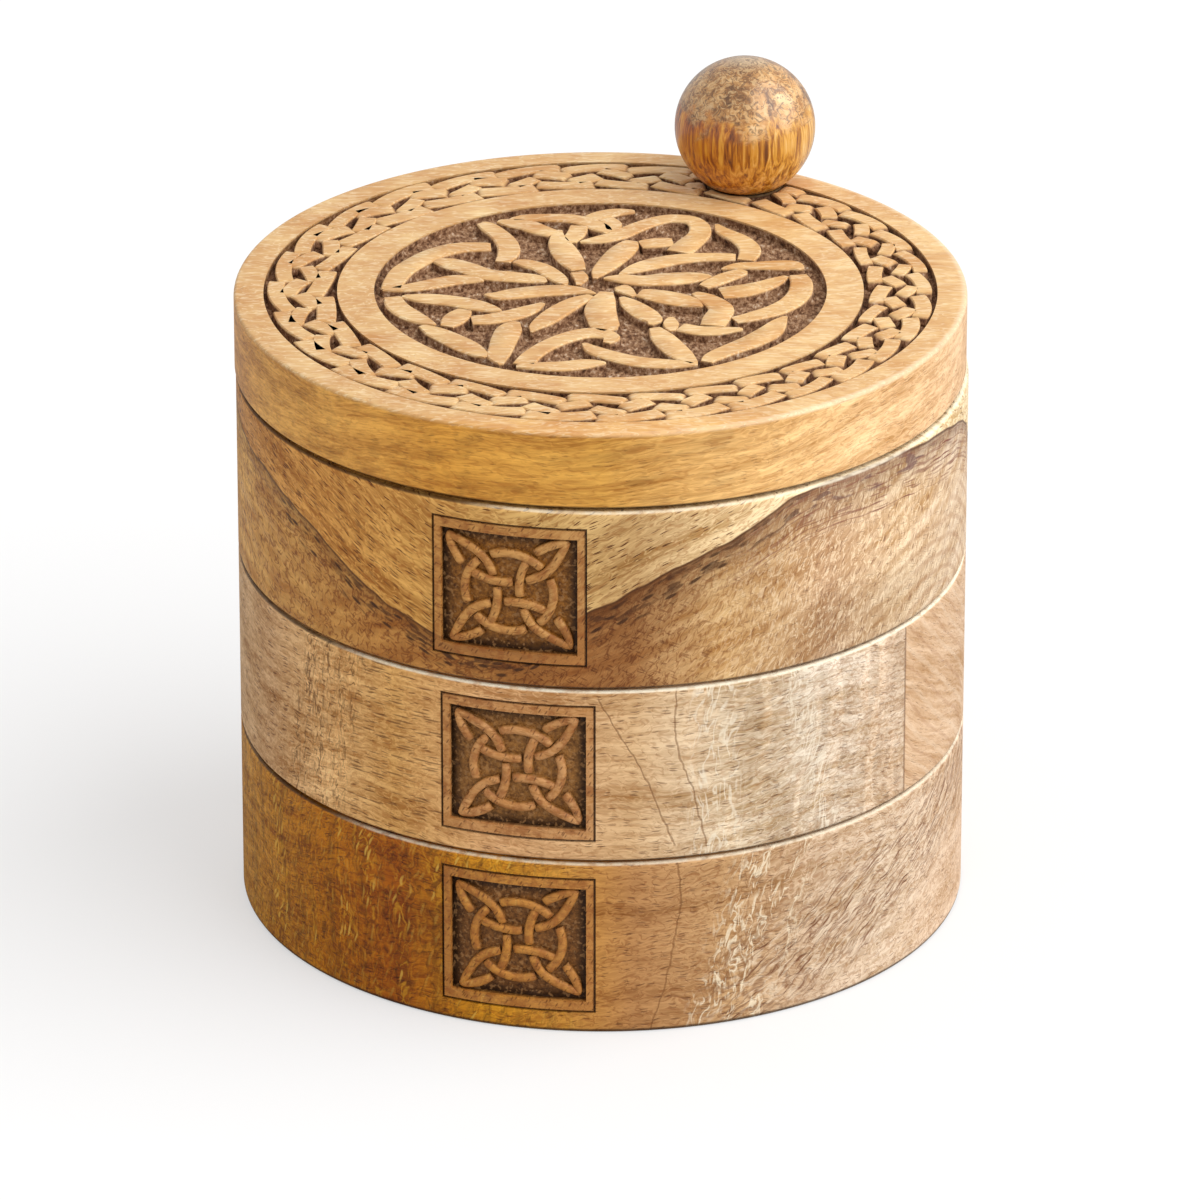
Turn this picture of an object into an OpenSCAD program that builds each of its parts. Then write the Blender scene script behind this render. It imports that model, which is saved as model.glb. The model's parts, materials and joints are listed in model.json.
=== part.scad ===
// Revolving box of turned mango wood: three round tiers and a lid that swing, each by itself,
// about one upright bolt near the rim. A ball knob closes the bolt's top end.
// The frame is millimetres, +Z up, with the origin under the middle of the bottom tier.
// The carved panels face the front, which is -Y, and the bolt stands at the back right.

/* [Tiers] */
// Outer radius of the three tiers
tier_r = 62.8; // [58:0.2:78]
// Height of the bottom tier
bottom_h = 31.75; // [26.25:0.25:40]
// Height of the middle tier
middle_h = 31.5; // [26.25:0.25:40]
// Height of the top tier
top_h = 32.25; // [26.25:0.25:40]
// Open gap between one tier and the next
tier_gap = 0.5; // [0.45:0.05:1]
// Thickness of the tiers' walls, which the bolt passes through
wall_t = 15.5; // [14:0.25:19]
// Thickness of the tiers' floors
floor_t = 6.5; // [6:0.25:9]
// Radius of the cove where a wall meets its floor
cove_r = 3; // [1:0.25:5]
// Rounding of a tier's upper outer arris
arris_r = 0.8; // [0.4:0.1:1.5]
// Rounding of a tier's lower outer arris and of the compartment's mouth
lower_arris_r = 0.6; // [0.3:0.1:1.2]

/* [Glued blank of the middle tier] */
// Direction that the glue seam faces, in degrees from +X
seam_angle = 50; // [30:1:70]
// Distance of the glue seam from the tier's centre
seam_offset = 5.5; // [0:0.1:20]

/* [Lid] */
// How far the lid's edge stands inside the tiers' edge
lid_inset = 0.1; // [0:0.1:1.5]
// Thickness of the lid
lid_t = 13.5; // [11:0.25:18]
// Gap under the lid
lid_gap = 0.6; // [0.45:0.05:1]
// Turn of the closed lid about the bolt, in degrees
lid_turn = -0.35; // [-1:0.05:1]
// Rounding of the lid's arrises
lid_arris_r = 0.6; // [0.3:0.1:1.2]

/* [Sunk grounds of the lid's carving] */
// Width of the flat rim outside the braid
rim_w = 5.1; // [3:0.1:6]
// Width of the sunk band that holds the braid
band_w = 12.6; // [10:0.1:14]
// Width of the plain ring between the band and the sunk round in the middle
ring_w = 6.3; // [4:0.1:9]
// Depth of both sunk grounds
ground_depth = 1.5; // [0.8:0.1:2.5]

/* [Carved panels] */
// Directions of the bottom, middle and top panels, in degrees left of the front
panel_turns = [13.4, 13.4, 14.7];
// Width of a sunk panel
panel_w = 23.6; // [18:0.2:28]
// Height of a sunk panel
panel_h = 21.2; // [16:0.2:21.4]
// Height of the panels' middles above the middles of their tiers
panel_rise = 0.5; // [-1:0.1:1]
// Depth of the sunk panels
panel_depth = 1.4; // [0.8:0.1:2.2]

/* [Pivot] */
// How far the bolt's axis stands inside the tiers' edge
pivot_inset = 8.3; // [7.2:0.1:9]
// Direction of the bolt, in degrees from +X
pivot_angle = 62.7; // [40:0.1:80]
// Radius of the bolt's shank
bolt_r = 2.5; // [2:0.1:3]
// Running clearance of the bolt in the wood, on the radius
bolt_clearance = 0.08; // [0.03:0.01:0.1]
// Radius of the bolt's button head
head_r = 4.75; // [4.25:0.05:5]
// Height of the button head
head_h = 2.75; // [2:0.05:3]
// Width across the flats of the head's hexagon socket
socket_w = 3; // [2:0.1:3.5]
// Depth of the hexagon socket
socket_depth = 1.6; // [1:0.1:1.8]
// Radius of the steel washer under the head
head_washer_r = 5; // [4.75:0.05:5.4]
// Thickness of the steel washer
head_washer_t = 1; // [0.6:0.1:1.2]
// Depth of the bolt head below the base
head_recess = 1.2; // [0.6:0.1:1.6]
// Side clearance of the washer in its counterbore
counterbore_clearance = 0.4; // [0.2:0.1:0.6]
// Radius of the thin washers between the tiers
spacer_r = 5; // [4:0.25:7]
// Part of a gap that is left open above its thin washer
spacer_clearance = 0.1; // [0.05:0.01:0.15]

/* [Knob] */
// Radius of the ball
knob_r = 12.3; // [10:0.1:15]
// Radius of the flat that the ball stands on
foot_r = 6.7; // [5.5:0.1:7]
// Gap between the knob and the lid, which lets the lid turn
knob_gap = 0.25; // [0.1:0.05:0.4]
// Outer radius of the threaded brass insert
insert_r = 3.6; // [3.3:0.1:4.2]
// Length of the insert
insert_l = 10; // [7:0.5:12]
// Depth of the insert's lower end inside the knob's foot
insert_recess = 0.4; // [0.1:0.1:1]
// Length of the bolt inside the insert
thread_engagement = 8.5; // [5:0.5:10]
// Clearance of pieces that are fixed in each other, on the radius
fixed_clearance = 0.02; // [0.01:0.01:0.04]

/* [Hidden] */
$fn = 96;

tiny = 0.01;
well_r = tier_r - wall_t;
lid_r = tier_r - lid_inset;
band_outer_r = lid_r - rim_w;
band_inner_r = band_outer_r - band_w;
medallion_r = band_inner_r - ring_w;
pivot_r = tier_r - pivot_inset;
bore_r = bolt_r + bolt_clearance;
pivot = [pivot_r * cos(pivot_angle), pivot_r * sin(pivot_angle)];

bottom_z = 0;
middle_z = bottom_z + bottom_h + tier_gap;
top_z = middle_z + middle_h + tier_gap;
lid_z = top_z + top_h + lid_gap;
lid_top_z = lid_z + lid_t;
foot_z = lid_top_z + knob_gap;

ball_rise = sqrt(knob_r * knob_r - foot_r * foot_r);
insert_z = foot_z + insert_recess;
bolt_end_z = insert_z + thread_engagement;
head_top_z = head_recess + head_h;
counterbore_depth = head_top_z + head_washer_t;
counterbore_r = head_washer_r + counterbore_clearance;

honey_wood = [0.86, 0.66, 0.40];
tan_wood = [0.76, 0.58, 0.40];
pale_wood = [0.80, 0.69, 0.54];
rose_wood = [0.74, 0.58, 0.44];
orange_wood = [0.70, 0.48, 0.27];
knob_wood = [0.72, 0.47, 0.22];
steel = [0.72, 0.72, 0.74];
brass = [0.80, 0.65, 0.33];
white_nylon = [0.88, 0.87, 0.82];

// Round bar or hole that stands on the pivot line, from one height to another
module on_pivot(r, from_z, to_z) {
  translate([pivot[0], pivot[1], from_z]) cylinder(r = r, h = to_z - from_z);
}

// Flat ring that a washer is
module washer(outer_r, inner_r, z, t) {
  difference() {
    on_pivot(outer_r, z, z + t);
    on_pivot(inner_r, z - 1, z + t + 1);
  }
}

// Half outline of a solid disc with rounded upper and lower arrises
module disc_profile(r, h, top_arris, low_arris) {
  difference() {
    square([r, h]);
    translate([r - top_arris, h - top_arris]) corner_waste(top_arris);
    translate([r - low_arris, low_arris]) mirror([0, 1]) corner_waste(low_arris);
  }
}

// What a quarter round takes off an outer corner: the corner lies at [size, size]
module corner_waste(size) {
  difference() {
    square([size + 1, size + 1]);
    circle(r = size);
  }
}

// Half outline of a compartment: straight wall, cove at the floor and an eased mouth
module well_profile(h) {
  translate([0, floor_t]) {
    square([well_r - cove_r, h]);
    translate([0, cove_r]) square([well_r, h]);
    translate([well_r - cove_r, cove_r]) circle(r = cove_r);
  }
  translate([well_r, h - lower_arris_r]) {
    difference() {
      square([lower_arris_r, lower_arris_r + 1]);
      translate([lower_arris_r, 0]) circle(r = lower_arris_r);
    }
  }
}

// Sunk panel with a floor that follows the tier's curve
module panel_recess(h, turn) {
  rotate(-90 - turn) {
    difference() {
      translate([0, -panel_w / 2, h / 2 + panel_rise - panel_h / 2]) cube([tier_r + 1, panel_w, panel_h]);
      translate([0, 0, -1]) cylinder(r = tier_r - panel_depth, h = h + 2);
    }
  }
}

// One tier at its height, with its compartment, its panel and the hole for the bolt
module tier(z, h, turn) {
  difference() {
    translate([0, 0, z]) {
      difference() {
        rotate_extrude() {
          difference() {
            disc_profile(tier_r, h, arris_r, lower_arris_r);
            well_profile(h);
          }
        }
        panel_recess(h, turn);
      }
    }
    on_pivot(bore_r, z - 1, z + h + 1);
  }
}

// Everything on the rear side of the glue seam
module behind_seam() {
  reach = 2 * tier_r;
  rotate(seam_angle) translate([seam_offset, -reach, middle_z - 1]) cube([reach, 2 * reach, middle_h + 2]);
}

module bottom_tier() color(orange_wood) {
  difference() {
    tier(bottom_z, bottom_h, panel_turns[0]);
    on_pivot(counterbore_r, -1, counterbore_depth);
  }
}

module middle_tier_front() color(pale_wood) {
  difference() {
    tier(middle_z, middle_h, panel_turns[1]);
    behind_seam();
  }
}

module middle_tier_rear() color(rose_wood) {
  intersection() {
    tier(middle_z, middle_h, panel_turns[1]);
    behind_seam();
  }
}

module top_tier() color(tan_wood) tier(top_z, top_h, panel_turns[2]);

// Sunk grounds of the lid, with the round pad that the knob stands over left standing
module lid_grounds() {
  translate([0, 0, lid_top_z - ground_depth]) {
    cylinder(r = medallion_r, h = ground_depth + 1);
    difference() {
      cylinder(r = band_outer_r, h = ground_depth + 1);
      translate([0, 0, -1]) cylinder(r = band_inner_r, h = ground_depth + 3);
      translate([pivot[0], pivot[1], -1]) cylinder(r = foot_r, h = ground_depth + 3);
    }
  }
}

// Turns its children about the bolt, as the lid swings
module swung(angle) {
  translate([pivot[0], pivot[1], 0]) rotate(angle) translate([-pivot[0], -pivot[1], 0]) children();
}

module lid() color(honey_wood) {
  swung(lid_turn) {
    difference() {
      translate([0, 0, lid_z]) rotate_extrude() disc_profile(lid_r, lid_t, lid_arris_r, lid_arris_r);
      lid_grounds();
      on_pivot(bore_r, lid_z - 1, lid_top_z + 1);
    }
  }
}

module knob() color(knob_wood) {
  difference() {
    translate([pivot[0], pivot[1], foot_z]) {
      rotate_extrude() {
        intersection() {
          translate([0, ball_rise]) circle(r = knob_r);
          square([knob_r + 1, ball_rise + knob_r + 1]);
        }
      }
    }
    on_pivot(insert_r + fixed_clearance, foot_z - 1, insert_z + insert_l);
  }
}

module knob_insert() color(brass) {
  washer(insert_r, bolt_r + fixed_clearance, insert_z, insert_l - fixed_clearance);
}

// Button-head bolt: the head is up inside the base, and the shank ends in the knob's insert
module pivot_bolt() color(steel) {
  head_dome = head_h * 0.7;
  difference() {
    union() {
      translate([pivot[0], pivot[1], 0]) {
        rotate_extrude() {
          intersection() {
            translate([0, head_recess]) square([head_r, head_h]);
            union() {
              translate([0, head_recess + head_dome]) scale([1, head_dome / head_r]) circle(r = head_r);
              translate([0, head_recess + head_dome]) square([head_r, head_h]);
            }
          }
        }
      }
      on_pivot(bolt_r, head_top_z - tiny, bolt_end_z);
    }
    translate([pivot[0], pivot[1], head_recess - 1])
      cylinder(r = socket_w / sqrt(3), h = socket_depth + 1, $fn = 6);
  }
}

module head_washer() color(steel) washer(head_washer_r, bore_r, head_top_z, head_washer_t);

// Thin washer that lies on the piece below and holds the next one clear of it
module spacer(z, gap) color(white_nylon) washer(spacer_r, bore_r, z, gap - spacer_clearance);

module lower_spacer() spacer(middle_z - tier_gap, tier_gap);
module middle_spacer() spacer(top_z - tier_gap, tier_gap);
module upper_spacer() spacer(lid_z - lid_gap, lid_gap);

bottom_tier();
middle_tier_front();
middle_tier_rear();
top_tier();
lid();
knob();
knob_insert();
pivot_bolt();
head_washer();
lower_spacer();
middle_spacer();
upper_spacer();
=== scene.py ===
import json
import math
import random
from functools import reduce

import bmesh
import bpy
import numpy as np
from mathutils import Matrix, Vector, noise


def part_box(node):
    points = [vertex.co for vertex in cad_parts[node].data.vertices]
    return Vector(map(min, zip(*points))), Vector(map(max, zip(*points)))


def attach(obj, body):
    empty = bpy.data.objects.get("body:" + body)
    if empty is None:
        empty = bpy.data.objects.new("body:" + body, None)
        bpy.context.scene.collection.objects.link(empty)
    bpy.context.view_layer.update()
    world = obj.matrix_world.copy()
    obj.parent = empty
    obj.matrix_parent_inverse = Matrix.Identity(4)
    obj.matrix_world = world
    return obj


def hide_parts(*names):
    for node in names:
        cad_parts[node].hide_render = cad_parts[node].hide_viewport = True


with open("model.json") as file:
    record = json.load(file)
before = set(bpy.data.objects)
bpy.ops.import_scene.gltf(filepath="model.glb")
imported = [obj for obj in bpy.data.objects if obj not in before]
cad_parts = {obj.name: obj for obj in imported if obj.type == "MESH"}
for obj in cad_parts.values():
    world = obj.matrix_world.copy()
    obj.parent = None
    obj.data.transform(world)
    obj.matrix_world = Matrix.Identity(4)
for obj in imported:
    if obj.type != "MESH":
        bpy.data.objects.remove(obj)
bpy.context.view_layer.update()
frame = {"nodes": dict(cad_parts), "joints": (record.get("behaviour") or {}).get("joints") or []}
scene = bpy.context.scene
scene.view_settings.view_transform = "Standard"
MM = 0.001


# The camera stands 1.8 m off on the photograph's line of sight, 24 degrees above the table, with a long
# lens. One large soft light comes from the right. The table is plain and white, and keeps the soft shadow.
lens = bpy.data.cameras.new("camera")
lens.lens = 311.6
lens.sensor_width = 36
lens.clip_end = 30
camera = bpy.data.objects.new("camera", lens)
camera.location = (-0.0022, -1.6382, 0.7958)
camera.rotation_euler = (math.radians(65.5852), 0, math.radians(-0.0637))
scene.collection.objects.link(camera)
scene.camera = camera

room = bpy.data.worlds.new("studio")
room.use_nodes = True
sky = room.node_tree.nodes["Background"].inputs
sky["Color"].default_value = (1, 1, 1, 1)
sky["Strength"].default_value = 0.74
scene.world = room

light = bpy.data.lights.new("main light", "SUN")
light.energy = 2.75
light.angle = math.radians(75)
lamp = bpy.data.objects.new("main light", light)
lamp.rotation_euler = (math.radians(50), 0, math.radians(72))
scene.collection.objects.link(lamp)

table = bpy.data.meshes.new("table")
table.from_pydata([(-6, -6, 0), (6, -6, 0), (6, 12, 0), (-6, 12, 0)], [], [(0, 1, 2, 3)])
floor = bpy.data.objects.new("floor", table)
scene.collection.objects.link(floor)
paper = bpy.data.materials.new("white paper")
paper.use_nodes = True
sheet = paper.node_tree.nodes["Principled BSDF"].inputs
sheet["Base Color"].default_value = (0.44, 0.44, 0.44, 1)
sheet["Roughness"].default_value = 1.0
sheet["Specular IOR Level"].default_value = 0.0
sheet["Emission Color"].default_value = (1, 1, 1, 1)
seen = paper.node_tree.nodes.new("ShaderNodeLightPath").outputs["Is Camera Ray"]
glow = paper.node_tree.nodes.new("ShaderNodeMath")
glow.operation = "MULTIPLY"
glow.inputs[1].default_value = 0.47
paper.node_tree.links.new(seen, glow.inputs[0])
paper.node_tree.links.new(glow.outputs[0], sheet["Emission Strength"])
table.materials.append(paper)


# Bottom tier: a tray turned from one block of mango wood, orange brown at the left and pale at the right.
# A square panel is cut into its front and holds a carved knot, and the bolt's head sits up inside its base.
def colour(code):
    """Linear colour of a six-figure screen colour"""
    shares = [int(code[i : i + 2], 16) / 255 for i in (0, 2, 4)]
    return [s / 12.92 if s <= 0.04045 else ((s + 0.055) / 1.055) ** 2.4 for s in shares] + [1]


def feed(tree, socket, value):
    if isinstance(value, bpy.types.NodeSocket):
        tree.links.new(value, socket)
    else:
        socket.default_value = value


def new_node(tree, kind, values=(), **settings):
    """A new node of a tree, set up, with its inputs fed by other nodes or by plain values"""
    node = tree.nodes.new(kind)
    for key, value in settings.items():
        setattr(node, key, value)
    for slot, value in values.items() if isinstance(values, dict) else enumerate(values):
        feed(tree, node.inputs[slot], value)
    return node


class Finish:
    """A wood, metal or plastic finish. Each method adds a node and gives back what it puts out.
    Places are in millimetres, and x, y and z are their parts."""

    def __init__(self, name):
        self.material = bpy.data.materials.new(name)
        self.material.use_nodes = True
        self.tree = self.material.node_tree
        self.surface = self.tree.nodes["Principled BSDF"]
        self.surface.inputs["Specular IOR Level"].default_value = 0.25
        where = self.add("ShaderNodeTexCoord").outputs["Object"]
        self.place = self.spread(where, 1 / MM)
        self.x, self.y, self.z = self.parts(self.place)

    def add(self, kind, values=(), **settings):
        return new_node(self.tree, kind, values, **settings)

    def maths(self, operation, *values):
        return self.add("ShaderNodeMath", values, operation=operation).outputs[0]

    def sum(self, *values):
        return reduce(lambda a, b: self.maths("ADD", a, b), values)

    def times(self, *values):
        return reduce(lambda a, b: self.maths("MULTIPLY", a, b), values)

    def less(self, a, b):
        return self.maths("SUBTRACT", a, b)

    def off(self, a, b):
        """How far apart two values are"""
        return self.maths("ABSOLUTE", self.less(a, b))

    def length(self, a, b):
        return self.maths("SQRT", self.sum(self.times(a, a), self.times(b, b)))

    def parts(self, place):
        return self.add("ShaderNodeSeparateXYZ", [place]).outputs

    def at(self, x, y, z):
        return self.add("ShaderNodeCombineXYZ", [x, y, z]).outputs[0]

    def spread(self, place, scale, shift=(0, 0, 0), turn=(0, 0, 0)):
        """The place scaled, then turned, then shifted"""
        scale = (scale,) * 3 if isinstance(scale, (int, float)) else scale
        turn = [math.radians(t) for t in turn]
        return self.add("ShaderNodeMapping", [place, shift, turn, scale]).outputs[0]

    def noise(self, place, scale, detail, rough=0.5, bend=0):
        values = {"Vector": place, "Scale": scale, "Detail": detail, "Roughness": rough, "Distortion": bend}
        return self.add("ShaderNodeTexNoise", values)

    def clouds(self, place, scale=None, detail=2, rough=0.5, bend=0):
        """Soft noise at a scale, stretched to run from 0 to 1"""
        place = self.spread(place, scale) if scale else place
        return self.step(self.noise(place, 1, detail, rough, bend).outputs["Fac"], 0.3, 0.7, smooth=False)

    def step(self, value, low, high, start=0, end=1, smooth=True):
        kind = "SMOOTHSTEP" if smooth else "LINEAR"
        values = [value, low, high, start, end]
        return self.add("ShaderNodeMapRange", values, interpolation_type=kind).outputs[0]

    def fall(self, value, low, high):
        """1 up to the low value, and 0 from the high one on"""
        return self.step(value, low, high, 1, 0)

    def near(self, value, middle, reach):
        """1 at the middle value, and 0 from reach away"""
        return self.fall(self.off(value, middle), 0, reach)

    def within(self, value, low, high, soft):
        """1 between two values, fading to 0 outside them"""
        rising = self.step(value, low - soft, low + soft)
        return self.times(rising, self.fall(value, high - soft, high + soft))

    def ramp(self, value, stops):
        """Colours at places from 0 to 1 along the value"""
        node = self.add("ShaderNodeValToRGB", [value])
        points = node.color_ramp.elements
        while len(points) < len(stops):
            points.new(0.5)
        for point, (position, code) in zip(points, stops):
            point.position = position
            point.color = colour(code)
        return node.outputs["Color"]

    def mix(self, share, first, second, way="MIX"):
        """From the first colour to the second. The numbers are the mix node's sockets for colours."""
        first, second = (colour(tint) if isinstance(tint, str) else tint for tint in (first, second))
        values = {0: share, 6: first, 7: second}
        return self.add("ShaderNodeMix", values, data_type="RGBA", blend_type=way).outputs[2]

    def stained(self, tint, stain):
        return self.mix(1, tint, stain, "MULTIPLY")

    def over(self, tint, shade, *shares):
        """The tint with a shade laid over it, as far as all the shares allow"""
        return self.mix(self.times(*shares), tint, shade)

    def lit(self, tint, share):
        """The tint, brighter by a share"""
        values = {"Vector": tint, "Scale": share}
        return self.add("ShaderNodeVectorMath", values, operation="SCALE").outputs[0]

    def aimed(self, place, turn, rise, scale=None):
        """The place turned so that its x runs along a grain line, which faces turn degrees round from the
        front and rises by rise degrees, and then scaled"""
        place = self.spread(self.spread(place, 1, turn=(0, 0, -turn)), 1, turn=(0, rise, 0))
        return self.spread(place, scale) if scale else place

    def dashes(self, place, length, width, share):
        """Short pore lines along x of the place, on an outer wall that faces along its y: 1 in a pore"""
        size = (0.8 / length, 0.8 / length, 0.8 / width)
        cells = self.add("ShaderNodeTexVoronoi", {"Vector": self.spread(place, size), "Scale": 1}).outputs
        line = self.fall(cells["Distance"], 0.2, 0.42)
        outside = self.step(self.length(self.x, self.y), tier_r / MM - 1.7, tier_r / MM - 1.2)
        picked = self.fall(self.parts(cells["Color"])[0], share - 0.05, share + 0.05)
        return self.times(line, outside, picked)

    def strokes(self, place, size, bend=0.8):
        """Fine curling strokes, pale ones and dark ones: short stretches of a soft noise's level lines"""
        soft = self.noise(self.spread(place, 1 / size), 1, 1, 0.4, bend).outputs["Color"]
        first, second, third = self.parts(soft)
        pale = self.times(self.near(first, 0.5, 0.1), self.step(third, 0.42, 0.5))
        return pale, self.times(self.near(second, 0.5, 0.1), self.fall(third, 0.5, 0.58))

    def curve(self, value, points):
        """The height of a smooth line through (place, height) points"""
        places, heights = zip(*points)
        left, right, low, high = places[0], places[-1], min(heights), max(heights)
        node = self.add("ShaderNodeFloatCurve", {"Value": self.step(value, left, right, smooth=False)})
        line = node.mapping.curves[0].points
        while len(line) < len(points):
            line.new(0.5, 0.5)
        for point, (place, height) in zip(line, points):
            point.location = ((place - left) / (right - left), (height - low) / (high - low))
        node.mapping.update()
        return self.step(node.outputs[0], 0, 1, low, high, smooth=False)

    def rings(self, place, centre, turn, spacing):
        """Growth rings round an axis that points outwards at turn degrees from the front: 0 to 1"""
        side, _, up = self.parts(self.aimed(self.spread(place, 1, shift=[-c for c in centre]), turn, 0))
        wave = self.maths("SINE", self.times(self.length(side, up), 2 * math.pi / spacing))
        return self.step(wave, -1, 1, smooth=False)

    def settle(self, tint, rough, relief):
        """Feeds the surface: its colour, its roughness, and its fine relief in millimetres"""
        normal = self.add("ShaderNodeBump", {"Height": relief, "Distance": MM}).outputs[0]
        for label, value in (("Base Color", tint), ("Roughness", rough), ("Normal", normal)):
            feed(self.tree, self.surface.inputs[label], value)
        return self.material


def mango(name, tones, dash, lay=None, turn=0, rise=0, ripple=1, streak=0.2, fibre=0.15, curl=0.5, thin=0.4):
    """Mango wood whose tones follow each other across the box. Its grain runs along x, turned about z and
    rising, or is laid by a function. Gives back its finish, its wavy place and its tint."""
    wood = Finish(name)
    wood.across = wood.step(wood.x, -63, 63, smooth=False)
    tone = wood.ramp(wood.across, tones)
    wavy = wood.place
    for scale, reach in ((0.03, 9), (0.3, ripple)):
        values = [wood.noise(wood.place, scale, 1).outputs["Color"], (reach,) * 3, wavy]
        wavy = wood.add("ShaderNodeVectorMath", values, operation="MULTIPLY_ADD").outputs[0]
    grain = lay(wood, wavy) if lay else wood.aimed(wavy, turn, rise)
    patch = 0.15
    figure = wood.sum(
        wood.times(wood.clouds(wood.place, 0.05), patch),
        wood.times(wood.clouds(grain, (0.02, 0.06, 0.4), 3, 0.6), streak),
        wood.times(wood.clouds(grain, (0.12, 0.4, 2.4), 2, 0.6), fibre),
    )
    total = patch + streak + fibre
    wood.figure = wood.step(figure, 0.2 * total, 0.8 * total, smooth=False)
    deep = wood.stained(tone, wood.mix(wood.across, "bfa480", "d0ba9a"))
    tint = wood.mix(wood.figure, deep, wood.lit(tone, wood.step(wood.across, 0, 1, 1.25, 1.16)))
    pale, dark = wood.strokes(wood.spread(grain, (thin, 2 * thin, 1)), 0.85)
    tint = wood.over(tint, wood.lit(tone, 1.3), pale, curl)
    tint = wood.over(tint, wood.stained(tone, "b98c5e"), dark, curl)
    pits = wood.dashes(grain, 1.8, 0.28, 0.35)
    plainer = wood.step(wood.across, 0.4, 0.9, 1.4, 0.9)
    tint = wood.over(tint, wood.stained(tint, "80573a"), pits, dash, plainer)
    wood.relief = wood.sum(wood.times(wood.figure, 0.03), wood.times(dark, -0.03), wood.times(pits, -0.06))
    return wood, wavy, tint


def waxed(wood, tint, *cuts):
    """The wood waxed over, smoother where its figure is pale, with cuts 0.06 mm deep"""
    relief = wood.sum(wood.relief, wood.times(wood.sum(*cuts), -0.06)) if cuts else wood.relief
    return wood.settle(tint, wood.step(wood.figure, 0, 1, 0.58, 0.42), relief)


def arris_light_and_shade(wood, tint, low, high, start, pale):
    """Paints a highlight on the upper arris of a tier from a place across the front on, and paints shade on
    the rest of that arris and on the lower arris"""
    outside = wood.step(wood.length(wood.x, wood.y), tier_r / MM - 1.1, tier_r / MM - 0.5)
    upper = wood.times(wood.step(wood.z, high / MM - 0.5, high / MM - 0.2), outside)
    # Painted highlight on the upper arris from the start place on, and painted shade on that arris before it
    highlit = wood.step(wood.x, start, start + 12)
    tint = wood.over(tint, "3e260f", upper, wood.less(0.8, highlit))
    # Painted shade on the lower arris
    tint = wood.over(tint, "2c1a0c", wood.step(wood.z, low / MM + 0.15, low / MM + 0.5, 0.75, 0), outside)
    # The painted highlight is broken up in patches
    patchy = wood.step(wood.clouds(wood.place, 0.6), 0, 0.6, 0.5, 1)
    return wood.over(tint, "fff4da", upper, highlit, pale, patchy)


def crack(wood, tint, points):
    """A fine dark split in the front of the wood, through (height, place across) points"""
    wobble = wood.clouds(wood.place, 0.35)
    off = wood.off(wood.sum(wood.x, wood.times(wobble, 0.5)), wood.curve(wood.z, points))
    line = wood.times(wood.fall(off, 0.06, 0.24), wood.fall(wood.y, -30, -20),
                      wood.within(wood.z, points[0][0], points[-1][0], 0.5))
    return wood.over(tint, "7d4f26", line, 0.55), line


def new_piece(name, points, faces):
    shape = bpy.data.meshes.new(name)
    shape.from_pydata([tuple(p) for p in points], [], faces)
    piece = bpy.data.objects.new(name, shape)
    scene.collection.objects.link(piece)
    return piece


def spun(outline, columns):
    """The radii and heights of a turned outline: a row for each of its points, a column for each angle"""
    return [np.array(row)[:, None].repeat(columns, 1) for row in zip(*outline)]


def turned(name, radii, heights, angles):
    """A closed turned body, from its outline's points, which run from the middle of its underside round to
    the middle of its top"""
    rows, columns = radii.shape
    points = [(0, 0, heights[0, 0])]
    for i in range(1, rows - 1):
        ring = np.stack([radii[i] * np.cos(angles), radii[i] * np.sin(angles), heights[i]], 1)
        points += ring.tolist()
    points.append((0, 0, heights[-1, 0]))
    faces = []
    for j in range(columns):
        following = (j + 1) % columns
        faces.append((0, 1 + following, 1 + j))
        for i in range(rows - 3):
            low, high = 1 + i * columns, 1 + (i + 1) * columns
            faces.append((low + j, low + following, high + following, high + j))
        last = 1 + (rows - 3) * columns
        faces.append((len(points) - 1, last + j, last + following))
    return new_piece(name, points, faces)


def as_mesh(piece):
    """Replaces a piece's mesh by what its modifiers make of it"""
    made = bpy.data.meshes.new_from_object(piece.evaluated_get(bpy.context.evaluated_depsgraph_get()))
    piece.modifiers.clear()
    piece.data = made


def cut(piece, tool, how="DIFFERENCE"):
    """Cuts a piece with a closed tool, which is then put away"""
    blade = piece.modifiers.new("cut", "BOOLEAN")
    blade.operation = how
    blade.solver = "MANIFOLD"
    blade.object = tool
    as_mesh(piece)
    bpy.data.objects.remove(tool)


def rod(radius, low, high, centre):
    """A closed round bar that stands at a centre"""
    angles = np.linspace(0, 2 * math.pi, 64, endpoint=False)
    bar = turned("rod", *spun([(0, low), (radius, low), (radius, high), (0, high)], len(angles)), angles)
    bar.data.transform(Matrix.Translation((*centre, 0)))
    return bar


def join(piece, *others):
    """Adds other pieces' shells to a piece"""
    work = bmesh.new()
    work.from_mesh(piece.data)
    for other in others:
        work.from_mesh(other.data)
        bpy.data.objects.remove(other)
    work.to_mesh(piece.data)
    work.free()
    return piece


def polish(piece, material):
    """Gives a piece its finish, and smooth shading up to 35 degrees"""
    piece.data.materials.clear()
    piece.data.materials.append(material)
    piece.data.shade_smooth()
    piece.data.set_sharp_from_angle(angle=math.radians(35))


def quarter(radius, steps, start):
    """Sines and cosines of a rounded arris, from a start angle in degrees"""
    turns = [math.radians(start + 90 * i / steps) for i in range(steps + 1)]
    return [(radius * math.cos(t), radius * math.sin(t)) for t in turns]


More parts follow.
